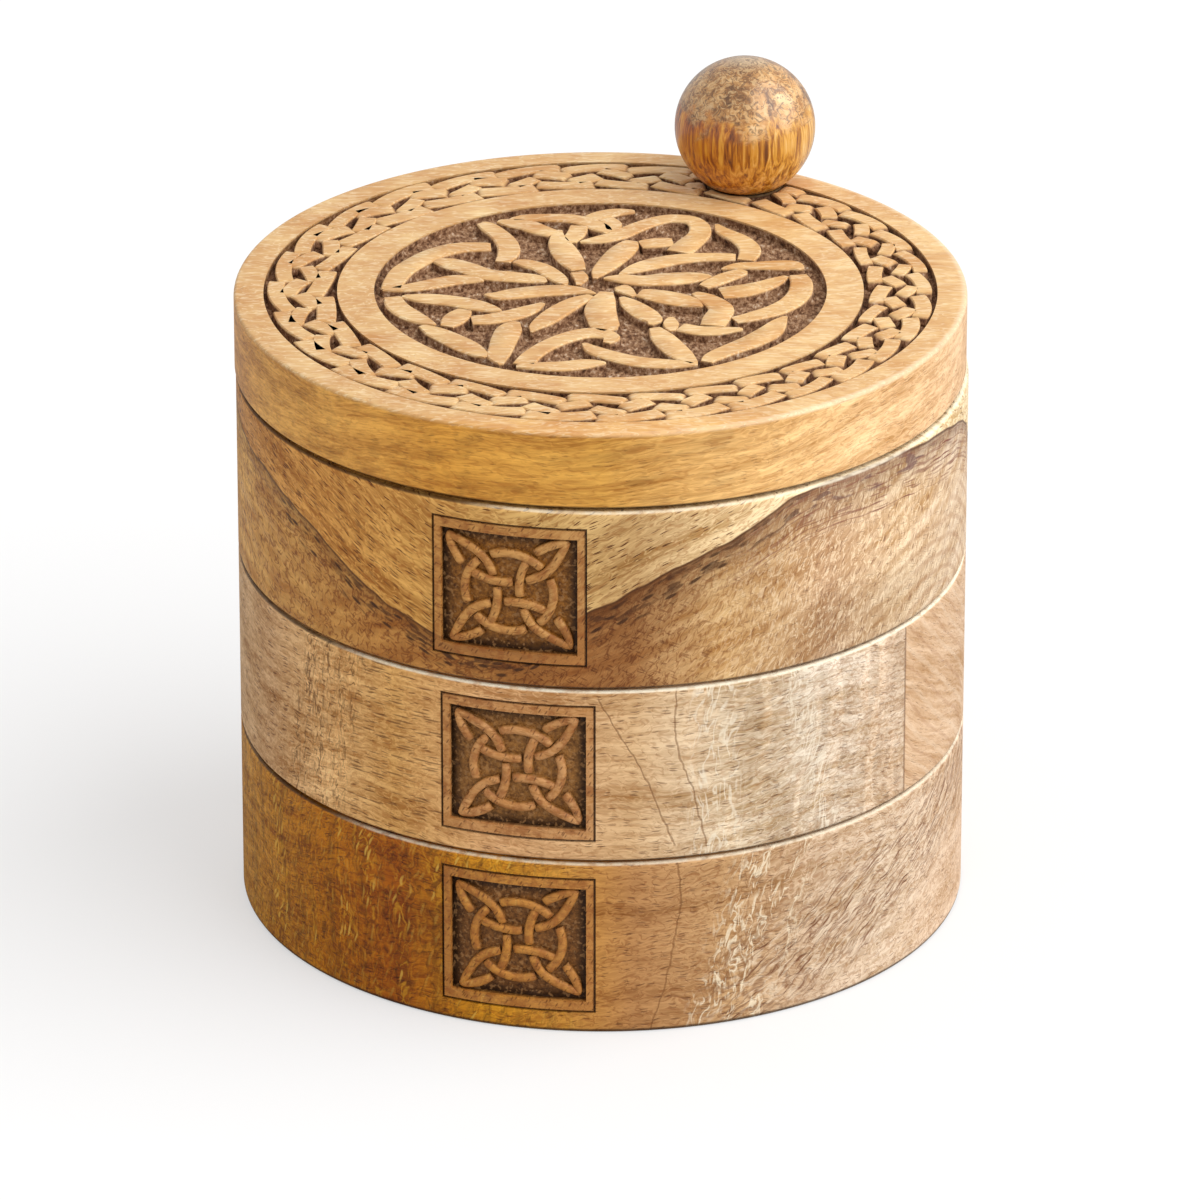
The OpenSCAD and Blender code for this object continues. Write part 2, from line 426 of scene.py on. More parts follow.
tier_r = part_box("bottom_tier")[1].x
pivot = frame["joints"][0]["pos_m"][:2]
well_r = tier_r - 15.5 * MM
floor_t = 6.5 * MM
cove_r = 3 * MM
top_arris = 0.8 * MM
low_arris = 0.6 * MM
bore_r = 2.58 * MM
panel_half = (11.8 * MM, 10.6 * MM)
panel_rise = 0.5 * MM
panel_depth = 1.4 * MM
line_half = (13.2 * MM, 12.45 * MM)
line_w = 0.36 * MM
line_depth = 0.4 * MM
edge_w = 0.02 * MM
ground_step = 0.42 * MM


def stops_across(half_panel, half_line):
    """Places of grid lines across a panel and its framing line, with a pair at each cut edge"""
    cuts = [half_panel, half_line - line_w / 2, half_line + line_w / 2]
    edges = [side * (c + off) for c in cuts for off in (-edge_w, edge_w) for side in (-1, 1)]
    inside = half_panel - edge_w
    count = int(2 * inside / ground_step)
    return sorted(edges + [inside * (2 * i / count - 1) for i in range(1, count)])


def hand_cut(spot, *bumps):
    """Height of a hand-cut ground at a spot, from its bumps' widths and heights, all in millimetres"""
    return sum(noise.noise(spot / width) * height for width, height in bumps)


def tier_blank(name, turn):
    """One turned tier with its compartment, its sunk panel and the line cut round it. The bare radii in its
    outline only set rings of points on its flat faces."""
    low, high = (corner.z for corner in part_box(name + "_front" if name == "middle_tier" else name))
    middle = (low + high) / 2 + panel_rise
    across = stops_across(panel_half[0], line_half[0])
    upright = [middle + v for v in stops_across(panel_half[1], line_half[1])]
    facing = math.radians(-90 - turn)
    near = [math.asin(u / tier_r) for u in across]
    turns = [math.radians(a) for a in np.arange(0, 360, 1.5)]
    for start in (0, facing):
        turns = [(a - start + math.pi) % (2 * math.pi) - math.pi for a in turns]
    local = np.array(sorted(near + [a for a in turns if near[0] > a or a > near[-1]]))

    outline = [(0, low)] + [(r * MM, low) for r in (12, 30, 48, 56)]
    outline += [(tier_r - low_arris + c, low + low_arris + s) for c, s in quarter(low_arris, 4, -90)]
    wall_from = len(outline)
    plain = [low + (high - low) * i / 18 for i in range(1, 18)]
    clear = 0.3 * MM
    wall = sorted(upright + [z for z in plain if z < upright[0] - clear or z > upright[-1] + clear])
    outline += [(tier_r, z) for z in wall]
    wall_to = len(outline)
    outline += [(tier_r - top_arris + c, high - top_arris + s) for c, s in quarter(top_arris, 5, 0)]
    outline += [(r * MM, high) for r in (59, 55, 51)]
    mouth = well_r + low_arris
    outline += [(mouth + c, high - low_arris + s) for c, s in quarter(low_arris, 4, 90)]
    outline += [(well_r, high - (high - low - floor_t - cove_r) * i / 6) for i in range(1, 6)]
    cove = (well_r - cove_r, low + floor_t + cove_r)
    outline += [(cove[0] + c, cove[1] - s) for c, s in quarter(cove_r, 8, 0)]
    outline += [(r * MM, low + floor_t) for r in (36, 24, 12)] + [(0, low + floor_t)]

    radii, heights = spun(outline, len(local))
    across = tier_r * np.sin(local)[None, :] + 0 * radii
    across[:, np.cos(local) < 0] = tier_r
    rise = heights - middle
    on_wall = np.zeros(radii.shape, bool)
    on_wall[wall_from:wall_to] = True
    sunk = on_wall & (abs(across) < panel_half[0]) & (abs(rise) < panel_half[1])
    reach = np.maximum(abs(across) - line_half[0], abs(rise) - line_half[1])
    lined = on_wall & (abs(reach) < line_w / 2)
    radii = radii - lined * line_depth
    for i, j in zip(*np.nonzero(sunk)):
        spot = Vector((across[i, j], rise[i, j], low)) / MM
        radii[i, j] -= panel_depth - hand_cut(spot, (1.1, 0.16), (3.1, 0.12)) * MM
    blank = turned(name, radii, heights, local + facing)
    return blank, low, high, middle, facing


def strap_nodes():
    """Nodes that run a section along drawn paths, dip the ends and give the straps their wood"""
    tree = bpy.data.node_groups.new("carved strap", "GeometryNodeTree")
    sockets = (
        ("Paths", "Geometry"), ("Section", "Object"), ("Step", "Float"), ("Depth", "Float"),
        ("End dip", "Float"), ("End length", "Float"), ("Wood", "Material"),
    )
    for label, kind in sockets:
        tree.interface.new_socket(label, in_out="INPUT", socket_type="NodeSocket" + kind)
    tree.interface.new_socket("Straps", in_out="OUTPUT", socket_type="NodeSocketGeometry")

    def add(kind, values=(), **settings):
        return new_node(tree, kind, values, **settings)

    def maths(operation, *values):
        return add("ShaderNodeMath", values, operation=operation).outputs[0]

    def stored(name):
        return add("GeometryNodeInputNamedAttribute", {"Name": name}, data_type="FLOAT").outputs["Attribute"]

    given = add("NodeGroupInput").outputs
    line = add("GeometryNodeMeshToCurve", {"Mesh": given["Paths"]}).outputs["Curve"]
    spaced = {"Curve": line, "Length": given["Step"]}
    line = add("GeometryNodeResampleCurve", spaced, mode="LENGTH").outputs[0]
    passed = add("GeometryNodeSplineParameter").outputs["Length"]
    left = maths("SUBTRACT", add("GeometryNodeSplineLength").outputs["Length"], passed)
    kept = {"Geometry": line, "Name": "from end", "Value": maths("MINIMUM", passed, left)}
    line = add("GeometryNodeStoreNamedAttribute", kept, data_type="FLOAT", domain="POINT").outputs[0]
    line = add("GeometryNodeSetCurveNormal", {"Curve": line}, mode="Z_UP").outputs[0]
    outline = add("GeometryNodeObjectInfo", {"Object": given["Section"]}).outputs["Geometry"]
    outline = add("GeometryNodeMeshToCurve", {"Mesh": outline}).outputs["Curve"]
    run = {"Curve": line, "Profile Curve": outline, "Scale": stored("half width"), "Fill Caps": True}
    straps = add("GeometryNodeCurveToMesh", run).outputs["Mesh"]
    share = maths("DIVIDE", stored("from end"), given["End length"])
    open_end = maths("SUBTRACT", 1, maths("MINIMUM", share, 1))
    dip = maths("MULTIPLY", maths("MULTIPLY", open_end, open_end), given["End dip"])
    drop = stored("drop")
    side = maths("MULTIPLY", drop, given["Depth"])
    depth = maths("ADD", side, maths("MULTIPLY", maths("SUBTRACT", 1, drop), dip))
    flat = add("ShaderNodeSeparateXYZ", [add("GeometryNodeInputPosition").outputs[0]]).outputs
    level = add("ShaderNodeCombineXYZ", [flat[0], flat[1], maths("MULTIPLY", depth, -1)]).outputs[0]
    straps = add("GeometryNodeSetPosition", {"Geometry": straps, "Position": level}).outputs[0]
    straps = add("GeometryNodeRealizeInstances", {"Geometry": straps}).outputs[0]
    straps = add("GeometryNodeSetMaterial", {"Geometry": straps, "Material": given["Wood"]}).outputs[0]
    tree.links.new(straps, add("NodeGroupOutput").inputs["Straps"])
    return tree


strap_tree = strap_nodes()


def section(name, points):
    """A strap's section: side steps in half widths, and the share of the depth below the top"""
    piece = new_piece(name, [], [])
    count = len(points)
    piece.data.from_pydata([(s, -d, 0) for s, d in points], [(i, (i + 1) % count) for i in range(count)], [])
    drops = piece.data.attributes.new("drop", "FLOAT", "POINT")
    drops.data.foreach_set("value", [d for _, d in points])
    return piece


def smoothed(points, pieces=8):
    """Points along a smooth curve through the given ones, widths included"""
    points = [np.array(p, float) for p in points]
    ends = [2 * points[0] - points[1], *points, 2 * points[-1] - points[-2]]
    found = []
    for a, b, c, d in zip(ends, ends[1:], ends[2:], ends[3:]):
        for t in np.linspace(0, 1, pieces, endpoint=False):
            curve = 2 * b + (c - a) * t + (2 * a - 5 * b + 4 * c - d) * t**2 + (3 * b - a - 3 * c + d) * t**3
            found.append(curve / 2)
    return found + [points[-1]]


def carve(name, paths, outline, material, depth, step, dip, dip_length):
    """Straps along paths of (x, y, width) points, with their tops at height zero"""
    points, edges, halves = [], [], []
    for path in paths:
        edges += [(len(points) + i, len(points) + i + 1) for i in range(len(path) - 1)]
        points += [(x, y, 0) for x, y, _ in path]
        halves += [width / 2 for _, _, width in path]
    piece = new_piece(name, [], [])
    piece.data.from_pydata(points, edges, [])
    piece.data.attributes.new("half width", "FLOAT", "POINT").data.foreach_set("value", halves)
    work = piece.modifiers.new("straps", "NODES")
    work.node_group = strap_tree
    sockets = {s.name: s.identifier for s in strap_tree.interface.items_tree if s.in_out == "INPUT"}
    values = {
        "Section": outline, "Step": step, "Depth": depth,
        "End dip": dip, "End length": dip_length, "Wood": material,
    }
    for label, value in values.items():
        work[sockets[label]] = value
    as_mesh(piece)
    shells = bmesh.new()
    shells.from_mesh(piece.data)
    bmesh.ops.recalc_face_normals(shells, faces=shells.faces)
    shells.to_mesh(piece.data)
    shells.free()
    return piece


round_top = [(-1.1, 1), (-1.02, 0.55), (-0.92, 0.28), (-0.68, 0.09), (-0.3, 0.0)]
round_section = section("round strap section", round_top + [(-s, d) for s, d in reversed(round_top)])

# One strand of the panel's knot, as (x, y, width) in shares of half the panel and of a strap's width, and the
# places where it runs under another. The ring's radius is such a share too, and its cuts are in degrees.
strap_w = 1.68 * MM
strap_top = 0.28 * MM
strand = [
    (-0.955, 0.935, 0.35), (-0.86, 0.865, 0.85), (-0.70, 0.785, 1), (-0.50, 0.67, 1), (-0.33, 0.50, 1),
    (-0.225, 0.25, 1), (-0.17, -0.03, 1), (-0.19, -0.30, 1), (-0.28, -0.56, 1), (-0.42, -0.735, 1),
    (-0.645, -0.875, 1), (-0.83, -0.935, 0.85), (-0.935, -0.955, 0.35),
]
strand_cuts = [(-0.19, 0.17), (-0.35, -0.65)]
ring_r = 0.69
ring_cuts = (122.7, 212.7)
cut_gap = 1.02 * MM


def steps_along(path):
    """How far along a path each of its points lies"""
    places = np.array([p[:2] for p in path])
    return np.r_[0, np.cumsum(np.linalg.norm(np.diff(places, axis=0), axis=1))]


def pieces_between(path, crossings):
    """A path's stretches between the crossings where it runs under, each cut back from them"""
    steps = steps_along(path)
    places = np.array([p[:2] for p in path])
    marks = [steps[np.argmin(np.linalg.norm(places - np.array(c), axis=1))] for c in crossings]
    starts = [0] + [m + cut_gap for m in marks]
    ends = [m - cut_gap for m in marks] + [steps[-1]]
    return [[p for p, s in zip(path, steps) if a <= s <= b] for a, b in zip(starts, ends)]


def knot(scale, seed):
    """The panel's knot, four strands and a ring that pass over and under each other by turns"""
    chance = random.Random(seed)
    found = []
    for c, s in ((1, 0), (0, 1), (-1, 0), (0, -1)):

        def placed(x, y):
            return (x * c - y * s) * scale[0], (x * s + y * c) * scale[1]

        path = [(*placed(x, y), strap_w * share * chance.uniform(0.94, 1.06)) for x, y, share in strand]
        found += pieces_between(smoothed(path, 14), [placed(x, y) for x, y in strand_cuts])
        start, end = ring_cuts
        turns = [math.radians(start + (end - start) * i / 40) for i in range(41)]
        ring = [(*placed(ring_r * math.cos(t), ring_r * math.sin(t)), strap_w) for t in turns]
        found.append(pieces_between(ring, (ring[0][:2], ring[-1][:2]))[1])
    return found


def panel_knot(name, middle, facing, material, seed):
    """The carved knot of one panel, wrapped round the tier"""
    paths = knot((panel_half[0] - 0.5 * MM, panel_half[1] - 0.3 * MM), seed)
    work = carve(name, paths, round_section, material, panel_depth + 0.1 * MM,
                 step=0.3 * MM, dip=0.42 * MM, dip_length=0.9 * MM)
    for point in work.data.vertices:
        across, rise, top = point.co
        turn = facing + across / tier_r
        radius = tier_r - strap_top + top
        point.co = (radius * math.cos(turn), radius * math.sin(turn), middle + rise)
    return work


def carved_panel(wood, tint, middle, facing, dark="482206", pale="b0742e"):
    """Stains the panel's ground dark and mottled, with painted shade on it along the panel's walls, and
    darkens its framing line; gives the frame and the straps their own plain wood with fine ticks across"""
    out, side, up = wood.parts(wood.spread(wood.place, 1, turn=(0, 0, -math.degrees(facing))))
    rise = wood.off(up, middle / MM)
    depth = wood.less(tier_r / MM, wood.length(wood.x, wood.y))
    side = wood.maths("ABSOLUTE", side)
    front = wood.times(wood.step(out, 40, 41), wood.fall(depth, 3, 4))

    def reach(half):
        """How far a place lies outside a square about the panel's middle"""
        return wood.maths("MAXIMUM", wood.less(side, half[0] / MM), wood.less(rise, half[1] / MM))

    framed = wood.times(wood.fall(reach(line_half), -0.1, 0.1), front)
    from_wall = reach(panel_half)
    ticks = wood.dashes(wood.aimed(wood.place, 0, 60), 1.2, 0.32, 0.45)
    worn = wood.step(wood.clouds(wood.place, 0.55, 3, 0.6), 0.3, 0.85, 0, 0.75)
    strap = wood.mix(worn, wood.mix(0.3, "c28446", tint), "9a5a28")
    strap = wood.over(strap, "6a3a16", ticks, 0.8)
    tint = wood.over(tint, strap, framed, 0.9)
    sunk = wood.times(wood.fall(from_wall, -0.05, 0.05), front, wood.step(depth, 0.45, 0.95))
    rub = wood.clouds(wood.place, 1.3, 4, 0.75)
    # Painted shade: the ground darkens towards the panel's walls
    ground = wood.mix(wood.step(from_wall, -2.8, -0.2, 0, 0.9), wood.mix(rub, dark, pale), "241002")
    chips = wood.step(wood.clouds(wood.place, 1.4, 1), 0.6, 0.9, 0, 0.45)
    ground = wood.over(ground, "b98a58", chips)
    tint = wood.over(tint, ground, sunk)
    line = wood.times(wood.near(reach(line_half), 0, 0.32), front)
    return wood.mix(line, tint, "24140a")


blank, low, high, middle, facing = tier_blank("bottom_tier", turn=13.4)
wood, wavy, tint = mango(
    "orange brown mango wood",
    [(0.0, "d59830"), (0.12, "c57a03"), (0.22, "a75803"), (0.36, "e29e21"), (0.54, "b68451"),
     (0.67, "c8a072"), (0.79, "d4ba9e"), (0.88, "dcc6ad"), (1.0, "dcbea0")],
    rise=4, ripple=1.4, streak=0.25, curl=0.45, dash=0.4,
)
left = wood.fall(wood.x, -16, 2)
upright = wood.clouds(wavy, (0.35, 0.35, 0.035), 3, 0.6)
tint = wood.over(tint, wood.lit(tint, 0.65), left, wood.step(upright, 0.45, 0.85), 0.7)
pale, dark = wood.strokes(wood.aimed(wavy, -35, 78, (0.4, 1, 1)), 1.1)
rows = wood.times(wood.step(wood.clouds(wavy, (0.28, 0.28, 0.02), 1), 0.4, 0.75, 0.3, 1), left)
tint = wood.over(tint, "dc9c26", rows, pale, 0.6)
tint = wood.over(tint, wood.lit(tint, 0.42), left, dark, 0.65)
drops = wood.dashes(wood.aimed(wavy, -35, 72), 3.0, 0.5, 0.5)
tint = wood.over(tint, "e6b44c", rows, drops, 0.75)
slant = wood.off(wood.z, wood.curve(wood.x, [(14, 2), (30, 9), (45, 16), (56, 23), (63, 29)]))
slanted = wood.times(wood.fall(slant, 4, 14), wood.step(wood.x, 12, 24))
light_waves, waves = wood.strokes(wood.aimed(wavy, 45, 32, (0.2, 0.4, 1)), 1.0, 0.5)
waves = wood.sum(waves, wood.dashes(wood.aimed(wavy, 45, 34), 6.5, 0.4, 1))
waves = wood.times(slanted, waves)
tint = wood.over(tint, wood.lit(tint, 0.8), slanted, 0.2)
tint = wood.over(tint, "f0dcc0", slanted, light_waves, 0.45)
tint = wood.over(tint, "7e5234", waves, 0.55)
rows = wood.clouds(wood.aimed(wavy, 20, 62), (0.04, 0.35, 0.35), 1)
worms = wood.times(wood.within(wood.sum(wood.x, wood.times(wood.z, -0.3)), 14, 28, 3),
                   wood.step(rows, 0.25, 0.5))
pale, dark = wood.strokes(wood.aimed(wavy, 20, 76, (0.3, 0.5, 1)), 1.0)
tint = wood.over(tint, "f6e4c4", pale, worms, 0.8)
tint = wood.over(tint, "8f6238", dark, worms, 0.6)
tint, split = crack(wood, tint, [(0.5, 8.3), (9.6, 11.0), (16.8, 12.3), (25.0, 13.3), (31.5, 12.7)])
# Painted contact shade: on the bottom tier the painted shade of the lower arris reaches this much higher
foot_shade_rise = 0.35 * MM
# A painted highlight and painted shade on the arrises
tint = arris_light_and_shade(wood, tint, low + foot_shade_rise, high, start=-48, pale=0.6)
tint = carved_panel(wood, tint, middle, facing, dark="3c1c06", pale="a06a34")
bottom_wood = waxed(wood, tint, waves, split)
bottom = join(blank, panel_knot("knot", middle, facing, bottom_wood, seed=3))
bolt_seat_r = 5.4 * MM
bolt_seat_top = 4.95 * MM
cut(bottom, rod(bore_r, low - MM, high + MM, pivot))
cut(bottom, rod(bolt_seat_r, low - MM, low + bolt_seat_top, pivot))
bottom.name = "bottom_tray"
polish(bottom, bottom_wood)
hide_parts("bottom_tier")
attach(bottom, "base")


# Middle tier: a paler tray, turned from a block that was glued up from two boards. The upright glue seam
# shows at the right, with the rear board's pinkish end grain beyond it.
seam_angle = math.radians(50)
seam_offset = 5.5 * MM


def behind_seam(low, high):
    """A block that fills everything on the rear side of the glue seam"""
    reach = 2 * tier_r
    corners = [(x, y, z) for z in (low - MM, high + MM) for x, y in
               ((seam_offset, -reach), (reach, -reach), (reach, reach), (seam_offset, reach))]
    faces = [(3, 2, 1, 0), (4, 5, 6, 7), (0, 1, 5, 4), (1, 2, 6, 5), (2, 3, 7, 6), (3, 0, 4, 7)]
    block = new_piece("rear side", corners, faces)
    block.data.transform(Matrix.Rotation(seam_angle, 4, "Z"))
    return block


def glue_line(wood, tint):
    """The dark glue line along the seam"""
    from_middle = wood.parts(wood.aimed(wood.place, math.degrees(seam_angle), 0))[0]
    return wood.over(tint, "6b4a33", wood.fall(wood.off(from_middle, seam_offset / MM), 0.1, 0.4), 0.6)


blank, low, high, middle, facing = tier_blank("middle_tier", turn=13.4)
cut(blank, rod(bore_r, low - MM, high + MM, pivot))
wood, wavy, tint = mango(
    "pale mango wood",
    [(0.0, "d5ae7c"), (0.05, "e0b685"), (0.12, "f7c98c"), (0.22, "eeba70"), (0.36, "edbc87"),
     (0.54, "ddb88a"), (0.67, "e4d2b6"), (0.79, "ddd0be"), (0.88, "d8c4ad"), (1.0, "d6bfa5")],
    curl=0.35, dash=0.45,
)
dashed = wood.dashes(wood.aimed(wood.place, -34, 1), 4.2, 0.42, 0.75)
dashed = wood.times(dashed, wood.within(wood.sum(wood.x, wood.times(wood.z, -0.14)), -49, -33, 1.5))
tint = wood.over(tint, "6b4220", dashed, 0.65)
pale, dark = wood.strokes(wood.aimed(wavy, -50, 88, (0.35, 1, 1)), 0.9)
rows = wood.within(wood.sum(wood.x, wood.times(wood.z, -0.14)), -59, -49, 1)
banded = wood.step(wood.clouds(wood.place, (0.7, 0.7, 0.03), 1), 0.3, 0.7, 0.4, 1)
tint = wood.over(tint, "70481f", dark, rows, banded, 0.8)
tint = wood.over(tint, wood.lit(tint, 1.35), pale, rows, 0.5)
right = wood.step(wood.x, 5, 25)
smoky = wood.clouds(wood.place, (0.14, 0.14, 0.06), 3)
smoky = wood.times(wood.step(smoky, 0.4, 0.9), right, 0.35)
tint = wood.over(tint, wood.stained(tint, "d0c4b8"), smoky)
columns = wood.clouds(wavy, (0.3, 0.3, 0.03))
tint = wood.over(tint, wood.lit(tint, 1.3), wood.step(columns, 0.5, 0.85), right, 0.6)
pale, dark = wood.strokes(wood.aimed(wavy, 35, 3, (0.3, 0.5, 1)), 0.95)
tint = wood.over(tint, wood.lit(tint, 1.3), pale, right, 0.45)
tint = wood.over(tint, wood.stained(tint, "c09a74"), dark, right, 0.4)
veins = wood.strokes(wood.aimed(wavy, 25, 86, (0.2, 0.6, 1)), 1.0)[0]
veined = wood.sum(wood.within(wood.x, 15, 23, 2),
                  wood.within(wood.sum(wood.x, wood.times(wood.z, 0.2)), 43, 47, 1.5))
tint = wood.over(tint, "fbeed6", veins, veined, 0.6)
tint, split = crack(wood, tint, [(34.6, 12.4), (42.9, 9.3), (49.3, 6.7), (55.2, 3.3), (62.5, -0.6)])
tint, other_split = crack(wood, tint, [(34.0, 17.6), (44.0, 15.6), (49.0, 13.8), (55.5, 12.5), (63.5, 12.4)])
# The glue line, then a painted highlight and painted shade on the arrises
tint = arris_light_and_shade(wood, glue_line(wood, tint), low, high, start=-48, pale=0.9)
tint = carved_panel(wood, tint, middle, facing, dark="4e2a0c", pale="b88040")
front_wood = waxed(wood, tint, split, other_split)
wood, wavy, tint = mango(
    "pinkish mango wood", [(0.0, "cba488"), (0.5, "cfaa8c"), (0.9, "d8b795"), (1.0, "dabb9b")],
    turn=70, rise=-30, curl=0.12, dash=0.15,
)
slope = wood.parts(wood.aimed(wavy, 70, -42))[2]
wave = wood.maths("SINE", wood.times(slope, 1.3))
tint = wood.over(tint, "a0714e", wood.step(wave, 0.86, 1), 0.3)
tint = wood.over(tint, "f3dcc0", wood.step(wave, -0.7, -1), 0.2)
# The glue line, then a painted highlight and painted shade on the arrises
tint = arris_light_and_shade(wood, glue_line(wood, tint), low, high, start=-48, pale=0.9)
rear_wood = waxed(wood, tint)
rear = bpy.data.objects.new("middle_tray_rear_board", blank.data.copy())
scene.collection.objects.link(rear)
blank.name = "middle_tray_front_board"
cut(blank, behind_seam(low, high))
cut(rear, behind_seam(low, high), "INTERSECT")
front = join(blank, panel_knot("knot", middle, facing, front_wood, seed=5))
boards = ((front, "middle_tier_front", "middle_front_wood", front_wood),
          (rear, "middle_tier_rear", "middle_rear_wood", rear_wood))
for board, node, slot, material in boards:
    polish(board, material)
    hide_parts(node)
    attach(board, "middle_tier")


# Top tier: the third tray, turned from one tan block with a dark brown heartwood band. The band dips to its
# lowest at the panel, and curly wood lies below it.
band_line = [(-62.8, 92.5), (-60.1, 90.1), (-54.8, 87.2), (-49.5, 84.2), (-44.5, 80.3), (-38.5, 76.5),
             (-31.8, 73.2), (-24, 70.7), (-16.5, 70.8), (-9, 74), (-2.6, 78.4), (3.6, 81.4), (11.9, 85.5),
             (19.8, 89.3), (28.1, 93.2), (34.8, 96.1), (42.7, 96.5), (51, 96.2), (58, 94.5), (60.9, 92.2),
             (62.8, 84)]


def along_band(wood, wavy):
    """A place whose x runs along the heartwood band"""
    wood.band = wood.curve(wood.x, band_line)
    side, back, up = wood.parts(wavy)
    return wood.at(side, back, wood.less(up, wood.band))


blank, low, high, middle, facing = tier_blank("top_tier", turn=14.7)
wood, wavy, tint = mango(
    "tan mango wood",
    [(0.0, "cb9047"), (0.12, "e6a855"), (0.25, "e7b05e"), (0.42, "dab26f"), (0.54, "cfaa74"),
     (0.67, "f7dbab"), (0.79, "fbe4ba"), (1.0, "fae9c3")],
    lay=along_band, ripple=0.7, streak=0.45, fibre=0.12, thin=0.3, dash=0.7,
)
waver = wood.times(wood.less(wood.clouds(wood.place, 0.12, 1), 0.5), 0.9)
inside = wood.fall(wood.length(wood.x, wood.y), 47, 50)
from_floor = wood.times(wood.step(wood.z, low / MM + 8, low / MM + 14, 5, 0), inside)
on_rim = wood.times(wood.step(wood.z, high / MM - 0.4, high / MM - 0.05),
                    wood.fall(wood.length(wood.x, wood.y), tier_r / MM - 1.2, tier_r / MM - 0.6))
under = wood.sum(wood.less(wood.band, wood.z), waver, from_floor, wood.times(on_rim, -2))
below = wood.step(under, -0.1, 0.25)
curly = wood.ramp(wood.across,
                  [(0.0, "e5b468"), (0.2, "c88e48"), (0.45, "a46d37"), (0.54, "ad7c4a"), (0.66, "e3be88"),
                   (0.8, "bc9b7a"), (0.9, "d4bc9b"), (1.0, "e4cfb5")])
mottle = wood.clouds(wood.aimed(wavy, 30, 25), (0.06, 0.1, 0.45), 3, 0.6)
curly = wood.mix(mottle, wood.stained(curly, "d2b690"), wood.lit(curly, 1.15))
right = wood.step(wood.x, 5, 35)
pale, dark = wood.strokes(wood.aimed(wavy, 38, 64, (0.35, 0.5, 1)), 0.75)
bright = wood.mix(right, wood.lit(curly, 1.4), "f8dfba")
curly = wood.over(curly, bright, pale, wood.sum(wood.times(right, 0.15), 0.35))
curly = wood.over(curly, wood.stained(curly, "a67a50"), dark, wood.less(0.7, wood.times(right, 0.4)))
# A paler patch at the upper right of the tier
paler_patch = wood.times(wood.within(wood.x, 32, 56, 8), wood.within(wood.z, 76, 90, 5))
curly = wood.over(curly, wood.lit(curly, 1.35), paler_patch, 0.8)
pits = wood.dashes(wood.aimed(wavy, -15, -30), 1.9, 0.34, 0.45)
pits = wood.sum(wood.times(pits, wood.less(1, right)),
                wood.times(wood.dashes(wood.aimed(wavy, 25, 64), 1.7, 0.32, 0.4), right))
curly = wood.over(curly, wood.stained(curly, "8a5a34"), pits, 0.55)
tint = wood.over(tint, curly, below)
drift = wood.clouds(wood.at(wood.times(wood.x, 0.16), wood.times(under, 1.1), 0), rough=0.6)
reach = wood.curve(wood.x, [(-63, 9), (-40, 8), (-20, 10), (-5, 14), (8, 20), (22, 20), (34, 11), (63, 9)])
fade = wood.ramp(wood.maths("DIVIDE", under, reach),
                 [(0.0, "ffffff"), (0.07, "f0f0f0"), (0.16, "c4c4c4"), (0.3, "969696"), (0.55, "505050"),
                  (0.9, "000000")])
strong = wood.curve(wood.x, [(-63, 0.6), (-50, 0.6), (-38, 0.6), (-24, 0.8), (-8, 0.95), (10, 1), (25, 0.9),
                             (40, 0.7), (63, 0.8)])
heart = wood.times(fade, below, strong, wood.step(drift, 0.1, 0.8, 0.6, 1))
heart_tint = wood.ramp(wood.across,
                       [(0.0, "644013"), (0.4, "633810"), (0.6, "6a3c18"), (0.8, "744a32"),
                        (1.0, "664740")])
tint = wood.over(tint, heart_tint, heart)
edge = wood.near(under, 0.2, 0.4)
tint = wood.over(tint, "4e2c14", edge, 0.75)
lines = wood.clouds(wood.at(wood.times(wood.x, 0.03), wood.times(under, 0.55), 0), detail=1)
lines = wood.near(lines, 0.5, 0.09)
fine = wood.dashes(wood.at(wood.x, wood.y, wood.sum(under, 9)), 5.0, 0.4, 0.7)
lines = wood.times(wood.sum(lines, fine), wood.within(under, 0.5, 9, 1), wood.step(wood.x, 14, 34))
tint = wood.over(tint, "84503c", lines, 0.65)
blobs = wood.clouds(wood.at(wood.times(wood.x, 0.3), wood.times(under, 0.7), 3))
blobs = wood.times(wood.step(blobs, 0.55, 0.75), wood.within(under, 0.5, 4, 0.6),
                   wood.within(wood.x, -45, 58, 4))
tint = wood.over(tint, wood.mix(wood.step(wood.x, 25, 45), "43220e", "6d4c4a"), blobs, 0.65)
follow = wood.dashes(wood.at(wood.x, wood.y, under), 2.4, 0.34, 0.5)
follow = wood.times(follow, wood.within(under, -14, 7, 2))
follow = wood.times(follow, wood.fall(wood.x, -8, 8))
tint = wood.over(tint, "6e401c", follow, 0.6)
knots = wood.dashes(wood.at(wood.x, wood.y, wood.sum(under, 5)), 2.6, 0.85, 0.95)
knots = wood.times(knots, wood.within(under, 0.8, 5.5, 0.7), wood.within(wood.x, -56, 24, 4))
tint = wood.over(tint, "3c1f0c", knots, 0.85)
growth = wood.rings(wavy, (59, -24, 58), 65, 2.9)
growth = wood.times(wood.step(growth, 0.55, 1), wood.step(wood.x, 46, 55), wood.fall(wood.z, 78, 86))
tint = wood.over(tint, "a87c58", growth, 0.4)
# A painted highlight and painted shade on the arrises
tint = arris_light_and_shade(wood, tint, low, high, start=-25, pale=0.6)
tint = carved_panel(wood, tint, middle, facing)
top_wood = waxed(wood, tint)
top = join(blank, panel_knot("knot", middle, facing, top_wood, seed=7))
cut(top, rod(bore_r, low - MM, high + MM, pivot))
top.name = "top_tray"
polish(top, top_wood)
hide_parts("top_tier")
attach(top, "top_tier")


